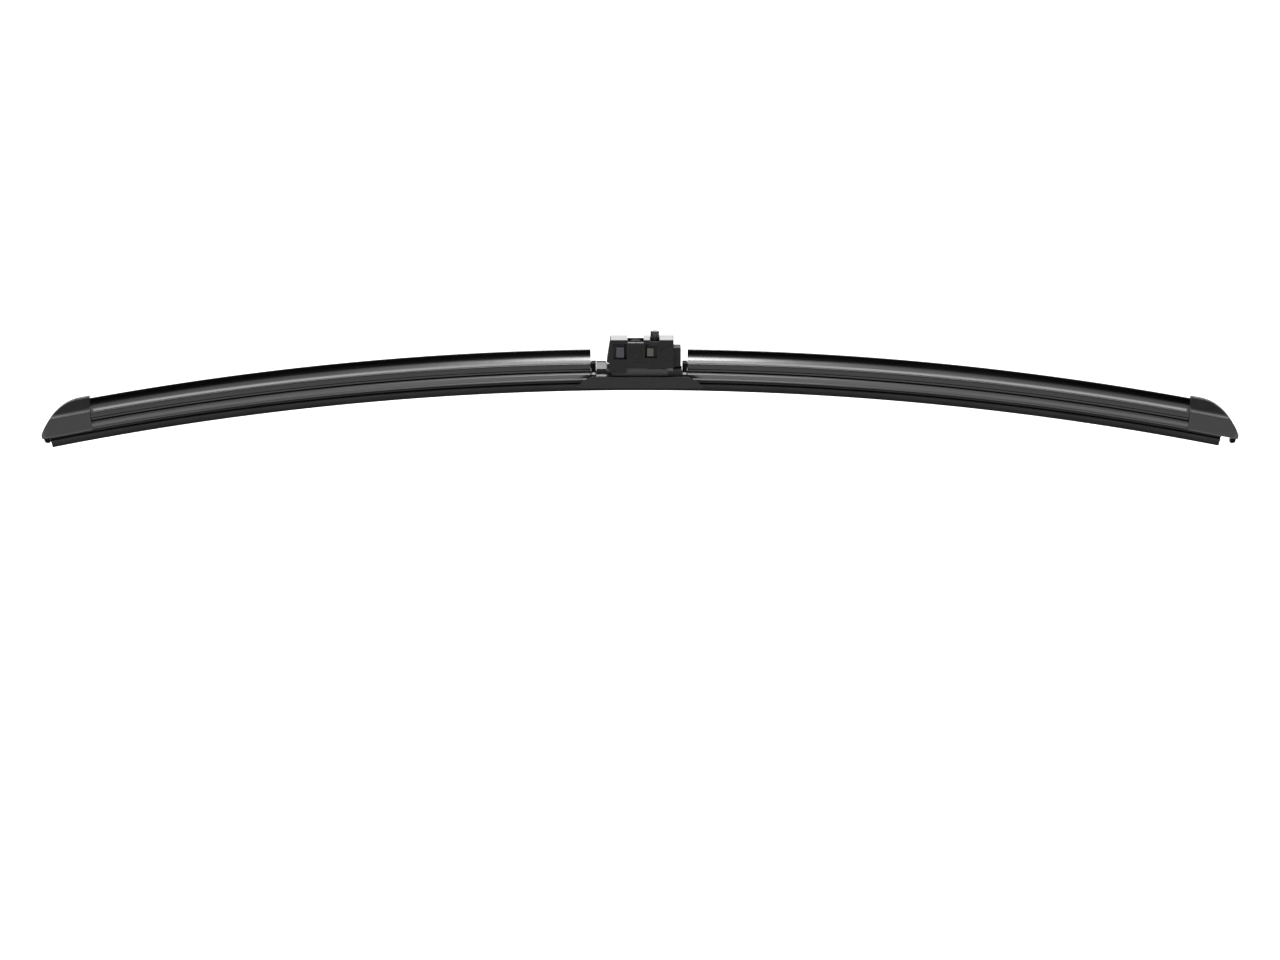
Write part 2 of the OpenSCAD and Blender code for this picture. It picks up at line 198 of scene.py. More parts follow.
def swept(name, loops, stations):
    """Sweeps closed (y, h) loops along the bow. The first is the outside, and the rest are holes.
    A station is (angle, inset): the inset rounds the edges of the end faces."""
    loops = [counter_clockwise(loop) for loop in loops]
    rings = [[inset(loop, cut if i == 0 else -cut) for i, loop in enumerate(loops)]
             for angle, cut in stations]
    points = []
    straight = []
    for (angle, cut), ring in zip(stations, rings):
        for loop in ring:
            for y, h in loop:
                points.append(bow_point(angle, y, h))
                straight.append((BOW_R * angle * MM, y * MM, h * MM))
    size = sum(len(loop) for loop in loops)
    faces = []
    for ring in range(len(stations) - 1):
        start = ring * size
        for loop in loops:
            for k in range(len(loop)):
                j = (k + 1) % len(loop)
                faces.append((start + k, start + j, start + size + j, start + size + k))
            start += len(loop)
    for ring, start in ((rings[0], 0), (rings[-1], size * (len(stations) - 1))):
        flat = tessellate_polygon([[Vector((y, h, 0)) for y, h in loop] for loop in ring])
        faces += [tuple(start + k for k in triangle) for triangle in flat]
    piece = new_piece(name, points, faces, straight)
    weigh_normals(piece)
    return piece


def soft_ends(start, end, count, edge=0.18):
    """Stations from one angle to another, with the edges of both ends rounded."""
    turn = math.copysign(edge / BOW_R, end - start)
    inner = steps(start + turn, end - turn, count)
    first = [(start, edge), (start + turn * 0.3, edge * 0.3)]
    last = [(end - turn * 0.3, edge * 0.3), (end, edge)]
    return first + [(angle, 0) for angle in inner] + last


def lathed(name, profile, centre, axis="Z", count=64):
    """Turns a (radius, height) profile round an axis through centre, given in blade millimetres."""
    points = []
    for radius, along in profile:
        for k in range(count):
            a = 2 * math.pi * k / count
            p = Vector((radius * math.cos(a), radius * math.sin(a), along))
            if axis == "Y":
                p = Vector((p.x, p.z, p.y))
            points.append(row_point(*(Vector(centre) + p)))
    piece = new_piece(name, points, tube_faces(len(profile), count))
    weigh_normals(piece)
    return piece


def carve(piece, cutters):
    """Cuts solids out of a piece, and keeps the result as its own mesh."""
    for cutter in cutters:
        cut = piece.modifiers.new("cut", "BOOLEAN")
        cut.operation = "DIFFERENCE"
        cut.solver = "EXACT"
        cut.object = cutter
    bpy.context.view_layer.update()
    shape = piece.evaluated_get(bpy.context.evaluated_depsgraph_get())
    piece.data = bpy.data.meshes.new_from_object(shape)
    piece.modifiers.clear()
    for cutter in cutters:
        bpy.data.objects.remove(cutter)


def softened(name, node, width):
    """A copy of a CAD node's solid with moulded, rounded edges. The solids are alike on both
    sides of the blade, so the front half is worked on, and mirrored to the rear."""
    piece = bpy.data.objects.new(name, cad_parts[node].data.copy())
    piece.data.materials.clear()
    bpy.context.scene.collection.objects.link(piece)
    bm = bmesh.new()
    bm.from_mesh(piece.data)
    bmesh.ops.remove_doubles(bm, verts=bm.verts, dist=2e-6)
    whole = bm.verts[:] + bm.edges[:] + bm.faces[:]
    bmesh.ops.bisect_plane(bm, geom=whole, plane_co=(0, 0, 0), plane_no=(0, 1, 0),
                           dist=1e-7, clear_outer=True)
    bmesh.ops.dissolve_limit(bm, angle_limit=math.radians(1), verts=bm.verts, edges=bm.edges,
                             use_dissolve_boundaries=False, delimit=set())
    front = bm.verts[:] + bm.edges[:] + bm.faces[:]
    bmesh.ops.mirror(bm, geom=front, axis="Y", merge_dist=2e-6)
    bm.to_mesh(piece.data)
    bm.free()
    finish_mesh(piece)
    soften = piece.modifiers.new("rounded edges", "BEVEL")
    soften.width = width * MM
    soften.segments = 3
    soften.limit_method = "ANGLE"
    soften.angle_limit = math.radians(24)
    soften.use_clamp_overlap = True
    soften.miter_outer = "MITER_ARC"
    weigh_normals(piece)
    return piece


# ---------------------------------------------------------------- materials
def blank(name):
    """A material with one Principled shader, and its node tree."""
    material = bpy.data.materials.new(name)
    material.use_nodes = True
    tree = material.node_tree
    tree.nodes.clear()
    out = tree.nodes.new("ShaderNodeOutputMaterial")
    shader = tree.nodes.new("ShaderNodeBsdfPrincipled")
    tree.links.new(shader.outputs["BSDF"], out.inputs["Surface"])
    return material, tree, shader


def spread(tree, where, scale):
    """Texture coordinates in metres, times a scale for each axis. where is "Object", or the
    straightened coordinates of a swept piece."""
    mapping = tree.nodes.new("ShaderNodeMapping")
    mapping.inputs["Scale"].default_value = scale
    if where == "Object":
        source = tree.nodes.new("ShaderNodeTexCoord")
        tree.links.new(source.outputs["Object"], mapping.inputs["Vector"])
    else:
        source = tree.nodes.new("ShaderNodeAttribute")
        source.attribute_name = "straight"
        tree.links.new(source.outputs["Vector"], mapping.inputs["Vector"])
    return mapping.outputs["Vector"]


def noise(tree, vector, detail, roughness=0.55):
    node = tree.nodes.new("ShaderNodeTexNoise")
    node.inputs["Scale"].default_value = 1.0
    node.inputs["Detail"].default_value = detail
    node.inputs["Roughness"].default_value = roughness
    tree.links.new(vector, node.inputs["Vector"])
    return node.outputs["Fac"]


def between(tree, value, low, high, start=0.3, end=0.7):
    """Maps a texture's value from start...end to low...high."""
    node = tree.nodes.new("ShaderNodeMapRange")
    node.inputs["From Min"].default_value = start
    node.inputs["From Max"].default_value = end
    node.inputs["To Min"].default_value = low
    node.inputs["To Max"].default_value = high
    tree.links.new(value, node.inputs["Value"])
    return node.outputs["Result"]


def maths(tree, operation, a, b):
    node = tree.nodes.new("ShaderNodeMath")
    node.operation = operation
    node.use_clamp = True
    for socket, value in zip(node.inputs, (a, b)):
        if isinstance(value, (int, float)):
            socket.default_value = value
        else:
            tree.links.new(value, socket)
    return node.outputs["Value"]


def tint(tree, factor, dark, light):
    """Mixes two colours. The first may also be what another node gives."""
    node = tree.nodes.new("ShaderNodeMix")
    node.data_type = "RGBA"
    tree.links.new(factor, node.inputs["Factor"])
    if isinstance(dark, tuple):
        node.inputs["A"].default_value = (*dark, 1)
    else:
        tree.links.new(dark, node.inputs["A"])
    node.inputs["B"].default_value = (*light, 1)
    return node.outputs["Result"]


def bumps(tree, shader, height, distance, strength):
    node = tree.nodes.new("ShaderNodeBump")
    node.inputs["Distance"].default_value = distance
    node.inputs["Strength"].default_value = strength
    tree.links.new(height, node.inputs["Height"])
    tree.links.new(node.outputs["Normal"], shader.inputs["Normal"])


def edge_mask(tree, radius, wear):
    """1 along outer and inner edges, broken up by the wear texture."""
    bevel = tree.nodes.new("ShaderNodeBevel")
    bevel.samples = 6
    bevel.inputs["Radius"].default_value = radius
    flat = tree.nodes.new("ShaderNodeNewGeometry")
    same = tree.nodes.new("ShaderNodeVectorMath")
    same.operation = "DOT_PRODUCT"
    tree.links.new(bevel.outputs["Normal"], same.inputs[0])
    tree.links.new(flat.outputs["Normal"], same.inputs[1])
    bend = between(tree, same.outputs["Value"], 1.0, 0.0, 0.86, 0.995)
    return maths(tree, "MULTIPLY", bend, wear)


def streaked_gloss(name, dark, light, gloss, specular):
    """Extruded satin-gloss plastic: fine lines along the blade, and a few duller patches."""
    material, tree, shader = blank(name)
    shader.inputs["Specular IOR Level"].default_value = specular
    lines = noise(tree, spread(tree, "straight", (9, 1500, 1500)), 2)
    patches = noise(tree, spread(tree, "straight", (18, 90, 90)), 3)
    dust = noise(tree, spread(tree, "straight", (900, 1500, 1500)), 4, 0.7)
    shade = maths(tree, "ADD", between(tree, lines, 0, 0.6), between(tree, dust, 0, 0.8, 0.6, 0.8))
    tree.links.new(tint(tree, shade, dark, light), shader.inputs["Base Color"])
    rough = maths(tree, "ADD", between(tree, lines, gloss - 0.02, gloss + 0.05),
                  between(tree, patches, 0, 0.05, 0.4, 0.75))
    tree.links.new(rough, shader.inputs["Roughness"])
    shader.inputs["IOR"].default_value = 1.52
    bumps(tree, shader, lines, 0.000012, 0.3)
    return material


def wiping_rubber():
    """Coated rubber: matt, faintly mottled, with fine lines where it left the die."""
    material, tree, shader = blank("wiping rubber")
    lines = noise(tree, spread(tree, "straight", (25, 3000, 3000)), 3)
    grain = noise(tree, spread(tree, "straight", (3500, 3500, 3500)), 4, 0.7)
    mottle = noise(tree, spread(tree, "straight", (60, 160, 160)), 4)
    tree.links.new(tint(tree, between(tree, mottle, 0, 1), (0.005, 0.005, 0.0055),
                        (0.010, 0.010, 0.0105)), shader.inputs["Base Color"])
    rough = maths(tree, "ADD", between(tree, lines, 0.5, 0.62), between(tree, grain, 0, 0.12))
    tree.links.new(rough, shader.inputs["Roughness"])
    shader.inputs["Specular IOR Level"].default_value = 0.16
    height = maths(tree, "ADD", between(tree, lines, 0, 0.5), between(tree, grain, 0, 0.5))
    bumps(tree, shader, height, 0.00003, 0.6)
    return material


GRAIN_SIZE = 0.25             # of moulded plastic
GRAIN_DEPTH = 0.012


def moulded(name, dark, light, gloss, specular=0.5, wear=0.7):
    """Injection-moulded plastic: eroded grain, slow changes of tone, and polished edges."""
    material, tree, shader = blank(name)
    shader.inputs["Specular IOR Level"].default_value = specular
    fine = 1 / (GRAIN_SIZE * MM)
    grain = noise(tree, spread(tree, "Object", (fine, fine, fine)), 3, 0.6)
    slow = noise(tree, spread(tree, "Object", (120, 120, 120)), 3)
    chips = noise(tree, spread(tree, "Object", (700, 700, 700)), 4, 0.65)
    edges = edge_mask(tree, 0.00035, between(tree, chips, 0.1, wear, 0.35, 0.65))
    shade = maths(tree, "ADD", between(tree, slow, 0, 0.35), between(tree, grain, 0, 0.15))
    worn = tuple(min(1, 2.6 * c + 0.012) for c in light)
    tree.links.new(tint(tree, edges, tint(tree, shade, dark, light), worn),
                   shader.inputs["Base Color"])
    rough = maths(tree, "ADD", between(tree, grain, gloss - 0.03, gloss + 0.05),
                  between(tree, slow, 0, 0.05))
    rubbed = maths(tree, "SUBTRACT", rough, maths(tree, "MULTIPLY", edges, 0.14))
    tree.links.new(rubbed, shader.inputs["Roughness"])
    bumps(tree, shader, grain, GRAIN_DEPTH * MM, 0.7)
    return material


def spring_steel(name, where, stretch, colour=0.52):
    """Rolled or drawn steel: lines along its length, and a thin film of oil that dulls it."""
    material, tree, shader = blank(name)
    lines = noise(tree, spread(tree, where, stretch), 4, 0.6)
    film = noise(tree, spread(tree, where, (70, 200, 200)), 4)
    tone = between(tree, lines, 0, 1)
    tree.links.new(tint(tree, tone, (colour * 0.72,) * 3, (colour, colour, colour * 1.02)),
                   shader.inputs["Base Color"])
    shader.inputs["Metallic"].default_value = 1.0
    rough = maths(tree, "ADD", between(tree, lines, 0.22, 0.36), between(tree, film, 0, 0.2))
    tree.links.new(rough, shader.inputs["Roughness"])
    bumps(tree, shader, lines, 0.00001, 0.6)
    return material


def polished(name, dark, light, gloss, specular=0.5):
    """The smooth faces of a moulding, in lighter tones that paint their sheen: a faint waviness,
    fine scratches, and clean edges.
    """
    material, tree, shader = blank(name)
    waves = noise(tree, spread(tree, "Object", (300, 300, 300)), 2)
    scratches = noise(tree, spread(tree, "Object", (260, 5000, 5000)), 3)
    tree.links.new(tint(tree, between(tree, waves, 0, 1), dark, light),
                   shader.inputs["Base Color"])
    tree.links.new(between(tree, scratches, gloss - 0.02, gloss + 0.06),
                   shader.inputs["Roughness"])
    shader.inputs["Specular IOR Level"].default_value = specular
    bumps(tree, shader, waves, 0.00002, 0.25)
    return material


def coated_steel():
    """Black coated sheet steel with a fine orange peel."""
    material, tree, shader = blank("coated steel")
    peel = noise(tree, spread(tree, "Object", (1100, 1100, 1100)), 2, 0.4)
    chips = noise(tree, spread(tree, "Object", (1300, 1300, 1300)), 5, 0.7)
    edges = edge_mask(tree, 0.0003, between(tree, chips, 0, 0.8, 0.5, 0.7))
    tree.links.new(tint(tree, edges, (0.016, 0.016, 0.017), (0.12, 0.12, 0.12)),
                   shader.inputs["Base Color"])
    tree.links.new(between(tree, peel, 0.32, 0.44), shader.inputs["Roughness"])
    bumps(tree, shader, peel, 0.00002, 0.5)
    return material


def studio_white():
    """Pale, softly glowing paper for the floor and the wall round it."""
    material, tree, shader = blank("studio white")
    fibre = noise(tree, spread(tree, "Object", (60, 60, 60)), 3)
    tree.links.new(tint(tree, between(tree, fibre, 0, 1), (0.40, 0.40, 0.40), (0.42, 0.42, 0.42)),
                   shader.inputs["Base Color"])
    shader.inputs["Roughness"].default_value = 1.0
    shader.inputs["Specular IOR Level"].default_value = 0.0
    shader.inputs["Emission Color"].default_value = (1, 1, 1, 1)
    shader.inputs["Emission Strength"].default_value = FLOOR_GLOW
    return material


def repaint(piece, material, chosen):
    """Gives one more material to the faces that chosen(face) picks."""
    piece.data.materials.append(material)
    last = len(piece.data.materials) - 1
    for face in piece.data.polygons:
        if chosen(face):
            face.material_index = last


def dress(piece, material, body, slot, *nodes):
    """Gives a new piece its material and its body, and hides the CAD nodes that it stands for. The
    slot argument is not used.
    """
    piece.data.materials.clear()
    piece.data.materials.append(material)
    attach(piece, body)
    if nodes:
        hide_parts(*nodes)
    return piece


# ---------------------------------------------------------------- camera and light
DISTANCE = 3.0                # from the camera to the point that it aims at
ELEVATION = math.radians(11)
VIEW_WIDTH = 694.5 * MM       # width of the view at the blade
AIM_DROP = 48.7               # the camera aims this far below the lip
SENSOR = 36.0
FLOOR_GLOW = 0.98
ROCKING_ROOM = 38.0           # the tips dip this far when the blade rocks about its pivot
FLOOR_R = 4.6                 # the flat floor ends here, in metres
WALL_R = 1.2                  # radius of the curve from the floor up into the wall
WALL_RISE = 1.3               # behind, the wall is higher than in front by this share
# Each softbox has a size, a place and a power.
SOFTBOXES = {
    "overhead": ((2.4, 0.62), (0, 0.64, 1.36), 27),
    "overhead wide": ((2.4, 1.25), (0, 0.02, 1.5), 15),
    "overhead middle": ((0.26, 0.6), (0, -0.07, 1.40), 15),
    "rear card": ((5.0, 1.0), (0, 4.1, 0.78), 12),
}


def make_camera():
    """A long lens, 11 degrees above the horizon. The blade lies above the middle of the view."""
    low, high = cad_box
    lip = Vector(((low.x + high.x) / 2, 0, -SEAT_H * MM))
    up = Vector((0, math.sin(ELEVATION), math.cos(ELEVATION)))
    back = Vector((0, -math.cos(ELEVATION), math.sin(ELEVATION)))
    target = lip - up * AIM_DROP * MM
    data = bpy.data.cameras.new("camera")
    data.sensor_width = SENSOR
    data.lens = SENSOR * DISTANCE / VIEW_WIDTH
    data.clip_start = 0.1
    data.clip_end = 40
    camera = bpy.data.objects.new("camera", data)
    camera.location = target + back * DISTANCE
    camera.rotation_euler = (math.pi / 2 - ELEVATION, 0, 0)
    bpy.context.scene.collection.objects.link(camera)
    bpy.context.scene.camera = camera


def make_floor():
    """A round floor that curves up into a wall, low in front of the blade and higher behind."""
    depth = cad_box[0].z - ROCKING_ROOM * MM
    profile = [(radius, 0.0) for radius in (0.5, 1.5, 3.0, FLOOR_R)]
    profile += [(FLOOR_R + WALL_R * math.sin(a), WALL_R - WALL_R * math.cos(a))
                for a in steps(0.1, 1.3, 12)]
    count = 96
    points = []
    for radius, height in profile:
        for k in range(count):
            a = 2 * math.pi * k / count
            rise = 1 + WALL_RISE * max(0, math.sin(a)) ** 2
            points.append((radius * math.cos(a), radius * math.sin(a), depth + height * rise))
    open_above = tube_faces(len(profile), count)[:-1]
    floor = new_piece("studio_floor", points, open_above)
    floor.data.materials.append(studio_white())


def softbox(name, size, place, power):
    """A rectangular light that faces the row frame's origin."""
    data = bpy.data.lights.new(name, "AREA")
    data.shape = "RECTANGLE"
    data.size, data.size_y = size
    data.energy = power
    light = bpy.data.objects.new(name, data)
    light.location = place
    aim = Vector((0, 0, 0)) - Vector(place)
    light.rotation_euler = aim.to_track_quat("-Z", "Y").to_euler()
    bpy.context.scene.collection.objects.link(light)


def make_lights():
    """Two long softboxes overhead, a small one over the connector, a card far behind the blade,
    and a dark room."""
    for name, (size, place, power) in SOFTBOXES.items():
        softbox(name, size, place, power)
    world = bpy.data.worlds.new("room")
    world.use_nodes = True
    background = world.node_tree.nodes["Background"]
    background.inputs["Color"].default_value = (0.008, 0.008, 0.008, 1)
    background.inputs["Strength"].default_value = 1.0
    bpy.context.scene.world = world
    bpy.context.scene.view_settings.view_transform = "Standard"


# ---------------------------------------------------------------- sections of the blade
MOUTH_Y = 3.05                # half of the channel's width where the squeegee's body hangs
RAIL_Y = 5.25                 # and where the rails lie
HEAD_Y = 2.65                 # and beside the squeegee's head
CHANNEL_TOP = 10.25
GROOVE = [(4.7, 11.5), (4.7, 12.4), (5.7, 13.0)]   # above the rear claw


def rail_channel():
    """The channel under a spoiler, from the front of its mouth round to the rear."""
    return mirrored([(-MOUTH_Y, 6.8), (-MOUTH_Y, 8.25), (-RAIL_Y, 8.25), (-RAIL_Y, 9.35),
                     (-HEAD_Y, 9.35), (-HEAD_Y, CHANNEL_TOP)])


def claw_path():
    """The rear claw's outside, from its lower edge up to its shoulder."""
    return [Vector(p) for p in ((CLAW_Y - 0.8, 6.8), (CLAW_Y - 0.1, 6.9), (CLAW_Y, 7.15),
                                (CLAW_Y - 0.6, 7.85), (CLAW_Y - 0.25, 9.75),
                                (CLAW_Y - 1.2, 10.8))]


def flipped(path):
    """The same path on the front side, listed the other way."""
    return [Vector((-y, h)) for y, h in reversed(path)]


def solid_spoiler():
    """The spoiler's outline without its channel: claws, grooves and the fin's hollow face."""
    grip = claw_path() + GROOVE
    rear = bulge((5.7, 14.9), (2.3, SPOILER_H - 0.3), 22, 24)
    tip = [(2.0, SPOILER_H), (1.4, SPOILER_H)]
    face = bulge((-5.3, 15.8), (1.1, SPOILER_H - 0.3), 58, 40)[::-1]
    foot = [(-5.6, 15.6), (-5.7, 15.1)]
    return grip + rear + tip + face + foot + flipped(grip)


def spoiler_section():
    return rounded(solid_spoiler() + rail_channel(), 0.2)


def tunnel_section():
    """The hollow that runs through the fin's foot."""
    return rounded([(-3.6, 13), (3.6, 13), (3.6, 15.1), (-3.6, 15.1)], 0.3)


def rubber_section():
    half = [(0.35, 0), (0.35, 1.7), (0.75, 2.3), (2.1, 3.5), (2.3, 3.9), (2.1, 4.3), (0.4, 4.4),
            (0.4, 5.0), (2.6, 5.1), (2.9, 5.5), (2.9, 8.0), (2.7, 8.3), (0.6, 8.3), (0.6, 9.3),
            (2.3, 9.3), (2.5, 9.5), (2.2, 10.1)]
    return rounded(mirrored(half), 0.12)


def plug_section():
    block = [(5.0, 11.15), (5.0, 15.8), (-5.0, 15.8), (-5.0, 11.15)]
    return rounded(claw_path() + block + flipped(claw_path()) + rail_channel(), 0.3)


def tongue_section():
    """The plug's tongue, which fits the spoiler's tunnel."""
    return rounded([(-3.45, 13.15), (3.45, 13.15), (3.45, 14.95), (-3.45, 14.95)], 0.3)


# ---------------------------------------------------------------- pieces of the blade
def make_rubber(material):
    ends = (-bow_angle(RUBBER_END["left"]), bow_angle(RUBBER_END["right"]))
    piece = swept("squeegee", [rubber_section()], soft_ends(*ends, 150, 0.05))
    dress(piece, material, "blade", "squeegee_rubber", "wiper_rubber")


SHEEN_TOP = 10.9               # below this height the spoiler gets a lighter, more reflective copy of its gloss: a painted sheen on the claws; the groove above keeps the fin's darker gloss


def make_spoiler(side, sign, fin, base):
    """The fin, with its claws in a lighter, more reflective copy of its gloss: a painted sheen."""
    ends = (sign * bow_angle(SPOILER_START[side]),
            sign * bow_angle(HALF_L - CAP_L + SPOILER_LAP))
    loops = [spoiler_section(), tunnel_section()]
    piece = swept("fin_" + side, loops, soft_ends(*ends, 70))
    dress(piece, fin, "blade", "spoiler_gloss", "spoiler_" + side)
    # Faces below the height given get the lighter claw gloss: a painted sheen on the claws.
    places = piece.data.attributes["straight"].data
    repaint(piece, base, lambda face: max(places[corner].vector.z for corner in face.vertices)
            < SHEEN_TOP * MM)


def join(piece, others):
    """Moves the other pieces' meshes into the first one."""
    bm = bmesh.new()
    for part in [piece, *others]:
        bm.from_mesh(part.data)
    bm.to_mesh(piece.data)
    bm.free()
    for part in others:
        bpy.data.objects.remove(part)


TONGUE_L = 9.6                # how far a plug's tongue stands out of it
COLLAR_TOP = 11.3             # below this, a plug is shaped like the claws


def make_plug(side, sign, collar, block):
    """The block that closes a spoiler's inner end, with a tongue that holds it there."""
    start = PLUG_START[side]
    end = SPOILER_START[side] - PLUG_GAP
    ends = (sign * bow_angle(start), sign * bow_angle(end))
    piece = swept("closer_" + side, [plug_section()], soft_ends(*ends, 4, 0.07))
    tongue = (sign * bow_angle(start + 2), sign * bow_angle(end + TONGUE_L))
    join(piece, [swept("tongue_" + side, [tongue_section()], soft_ends(*tongue, 4))])
    # The collar wears the claws' lighter gloss, with its painted sheen.
    dress(piece, collar, "blade", "cap_plastic", "spoiler_plug_" + side)
    # The block above the collar gets the near-black, barely reflective moulding: painted shade.
    block_z = (COLLAR_TOP - SEAT_H) * MM
    repaint(piece, block, lambda face: face.center.z > block_z)


# ---------------------------------------------------------------- end caps
CAP_MID = bow_angle(HALF_L - CAP_L / 2 - 1.5)   # a cap's own x starts here on the bow
CAP_END = CAP_L / 2           # the tip, in the cap's own x
CAP_STOP = CAP_END - 3.6      # the squeegee's room ends here
CAP_Y = 6.9                   # half of the width
CAP_TOP = SPOILER_H + 1.3
CAP_LEAN = 2.1                # the mouth's upper edge leans out by about this much
TIP_Y = 4.9                   # half of the width at the very tip
BEVEL_Y = 3.0                 # the bevels beside the tip widen it by this much
BEVEL_X = 3.4                 # over this length
NOSE_TURN = 0.7               # softness of the turns where the nose and the bevels start
SLEEVE_GAP = 0.15             # between a cap and the spoiler in it
SLEEVE_END = 9.6 - CAP_END    # the spoiler's room ends here
FOOT_Y = 3.0                  # half of the width of the foot that stops the squeegee
FOOT_TOP = 7.2
FOOT_LOW = 3.1


def cap_point(sign, x, y, h):
    """A point of a cap: x runs to the tip along the tangent of the bow at the cap's middle."""
    across = x * math.cos(CAP_MID) + (BOW_R + h) * math.sin(CAP_MID)
    up = -x * math.sin(CAP_MID) + (BOW_R + h) * math.cos(CAP_MID) - BOW_R
    return row_point(sign * across, y, up)


def cap_section():
    rear = bulge((CAP_Y, 15.6), (3.3, CAP_TOP - 0.4), 22, 30)
    face = [(-2.4 - t * 1.9, CAP_TOP - 0.6 - t * 4.7) for t in steps(0, 0.95, 24)]
    face += bulge((0.6 - CAP_Y, 16.7), (2.6 - CAP_Y, 18.6), 50, 20)[::-1]
    flat_rear = [(CAP_Y, h) for h in steps(6.9, 14.6, 10)]
    flat_front = [(-CAP_Y, h) for h in steps(16.2, 6.9, 12)]
    outline = [(0.5 - CAP_Y, 6.4), (CAP_Y - 0.5, 6.4)] + flat_rear + rear
    outline += [(2.9, CAP_TOP), (0.5, CAP_TOP), (-1.9, CAP_TOP)] + face + flat_front
    return counter_clockwise(rounded(outline, 0.35))


def nose_curve():
    """(x, height) points of the cap's nose, from its top to the tip."""
    p = [Vector(c) for c in ((CAP_END - 20.6, CAP_TOP + 0.01), (CAP_END - 13.5, CAP_TOP - 0.7),
                             (CAP_END - 4.5, 16.6), (CAP_END, 8.4))]
    out = []
    for t in steps(0, 1, 200):
        s = 1 - t
        out.append(s ** 3 * p[0] + 3 * s * s * t * p[1] + 3 * s * t * t * p[2] + t ** 3 * p[3])
    return out


def height_at(curve, x):
    """Height of the nose curve at x. Where the curve hasn't begun, nothing is held down."""
    if x <= curve[0].x:
        return CAP_TOP + 1
    for a, b in zip(curve, curve[1:]):
        if x <= b.x:
            return a.y + (b.y - a.y) * (x - a.x) / (b.x - a.x)
    return curve[-1].y


def softly_less(value, limit):
    """The smaller of two numbers, with a smooth turn where they meet."""
    gap = max(NOSE_TURN - abs(value - limit), 0) / NOSE_TURN
    return min(value, limit) - gap * gap * NOSE_TURN / 4


def cap_width(x):
    """The most that half of the width may be at x, between the bevels beside the tip."""
    return TIP_Y + (CAP_END - x) * BEVEL_Y / BEVEL_X


def cap_shell(sign, name):
    """The cap's outside: one section, held under the nose curve and between the bevels. Its
    stations get closer towards the tip."""
    section = cap_section()
    curve = nose_curve()
    even, start = 0.55, 0.6
    stations = steps(0, even, 16) + [even + (1 - even) * math.sin(a * math.pi / 2)
                                     for a in steps(0.03, 1, 44)]
    points = []
    for u in stations:
        x = -CAP_END + start + (CAP_L - start) * u
        top = height_at(curve, x)
        wide = cap_width(x)
        for y, h in section:
            lean = -CAP_LEAN * h / (CAP_TOP + 1) * (1 - u) ** 2
            held = softly_less(h, top)
            side = math.copysign(softly_less(abs(y), wide), y)
            points.append(cap_point(sign, x + lean, side, held))
    return new_piece(name, points, tube_faces(len(stations), len(section)))


def prism(name, outline, x0, x1, place):
    """A prism of a (y, h) outline from x0 to x1, with place(x, y, h) giving the points."""
    outline = [Vector(p) for p in outline]
    points = [place(x, y, h) for x in (x0, x1) for y, h in outline]
    return new_piece(name, points, tube_faces(2, len(outline)))


def box_outline(y, low, high):
    return [(-y, low), (y, low), (y, high), (-y, high)]


def make_cap(side, sign, material, dark):
    """A cap, hollow for its spoiler, the squeegee and the clipped ends of the rails."""
    piece = cap_shell(sign, "tip_cap_" + side)

    def place(x, y, h):
        return cap_point(sign, x, y, h)

    sleeve = inset(counter_clockwise([Vector(p) for p in solid_spoiler()]), -SLEEVE_GAP)
    mouth = box_outline(MOUTH_Y, 0, 10.4)
    pocket = box_outline(RAIL_Y, 8.15, 12.4)
    carve(piece, [prism("sleeve", sleeve, -CAP_L, SLEEVE_END, place),
                  prism("mouth", mouth, -CAP_L, CAP_STOP, place),
                  prism("pocket", pocket, -CAP_END, CAP_END - 5, place)])
    join(piece, [cap_foot(sign)])
    finish_mesh(piece)
    weigh_normals(piece)
    dress(piece, material, "blade", "cap_plastic", "end_cap_" + side)
    # Faces low under the cap get the near-black, barely reflective moulding: painted shade under
    # it.
    foot_z = cap_point(sign, CAP_STOP, 0, FOOT_TOP - 1).z
    repaint(piece, dark, lambda face: face.center.z < foot_z)


def cap_foot(sign):
    """The block under the tip that stops the squeegee."""
    side_view = [(CAP_STOP, FOOT_TOP), (CAP_STOP, FOOT_LOW), (CAP_END - 2.4, FOOT_LOW),
                 (CAP_END - 1, 3.7), (CAP_END - 0.3, FOOT_TOP)]
    loop = counter_clockwise(rounded(side_view, 0.4))
    edge = [(FOOT_Y - 0.25, 0.0), (FOOT_Y - 0.07, 0.08), (FOOT_Y, 0.25)]
    rows = [(-y, cut) for y, cut in reversed(edge)] + edge
    points = []
    for y, cut in rows:
        points += [cap_point(sign, x, y, h) for x, h in inset(loop, cut)]
    return new_piece("foot", points, tube_faces(len(rows), len(loop)))


# ---------------------------------------------------------------- connector
PIVOT = (-2.4, 0, 22)
BUTTON_X = 8.0
BUTTON_RIM = 32.4             # the button is smooth above this height, and painted lighter there: a painted highlight on its tip
LUG_Y = 7.4                   # the joint block's lugs stand out beyond this
CROWN_H = 26.6                # and its crown is above this
DECK_X = -15                  # the shell's left deck is beyond this
DECK_H = 8.2                  # and above this


